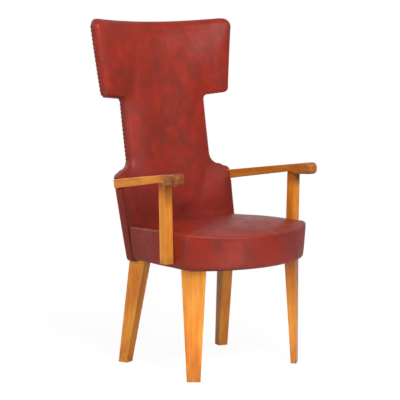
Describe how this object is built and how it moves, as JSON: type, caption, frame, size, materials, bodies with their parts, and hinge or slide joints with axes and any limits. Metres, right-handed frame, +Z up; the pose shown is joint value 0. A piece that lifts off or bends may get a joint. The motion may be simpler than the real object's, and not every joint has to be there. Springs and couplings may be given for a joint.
{
  "type": "fireside chair",
  "caption": "High-backed fireside armchair with a hollowed T-shaped leather back, slim wooden arms on posts, a bowed upholstered seat and tapered wooden legs.",
  "frame": {"origin": "on the floor, under the centre of the chair's bounding box", "axes": "+Z up, +X to the right as the viewer faces the chair, the sitter faces -Y; the chair is symmetric left to right"},
  "size_m": [0.612, 0.6184, 1.15],
  "materials": {
    "beech": "satin golden lacquer, darker and worn at the hand ends",
    "frame_beech": "raw planed wood",
    "red_leather": "satin, mottled deep red",
    "hemp": "coarse weave",
    "steel": "plain",
    "black_cloth": "matt woven lining"
  },
  "bodies": {
    "root": {"front_leg_left": "beech", "front_leg_right": "beech", "rear_leg_left": "beech", "rear_leg_right": "beech", "arm_left": "beech", "arm_right": "beech", "arm_post_left": "beech", "arm_post_right": "beech", "seat_front_rail": "frame_beech", "seat_side_rail_left": "frame_beech", "seat_side_rail_right": "frame_beech", "seat_rear_rail": "frame_beech", "front_corner_block_left": "frame_beech", "front_corner_block_right": "frame_beech", "rear_corner_block_left": "frame_beech", "rear_corner_block_right": "frame_beech", "seat_webbing": "hemp", "seat_springs": "steel", "spring_hessian": "hemp", "seat_stuffing": "hemp", "seat_band": "red_leather", "seat_pad": "red_leather", "dust_cover": "black_cloth", "back_stile_left": "frame_beech", "back_stile_right": "frame_beech", "back_bottom_rail": "frame_beech", "back_lumbar_rail": "frame_beech", "shoulder_rail_left": "frame_beech", "shoulder_rail_right": "frame_beech", "headrest_top_rail": "frame_beech", "headrest_low_rail_left": "frame_beech", "headrest_low_rail_right": "frame_beech", "headrest_end_stile_left": "frame_beech", "headrest_end_stile_right": "frame_beech", "back_webbing": "hemp", "back_pad": "red_leather", "back_return_left": "red_leather", "back_return_right": "red_leather", "outside_back": "red_leather", "post_bolts": "steel", "leg_bolts": "steel", "arm_dowels": "frame_beech"}
  },
  "joints": []
}
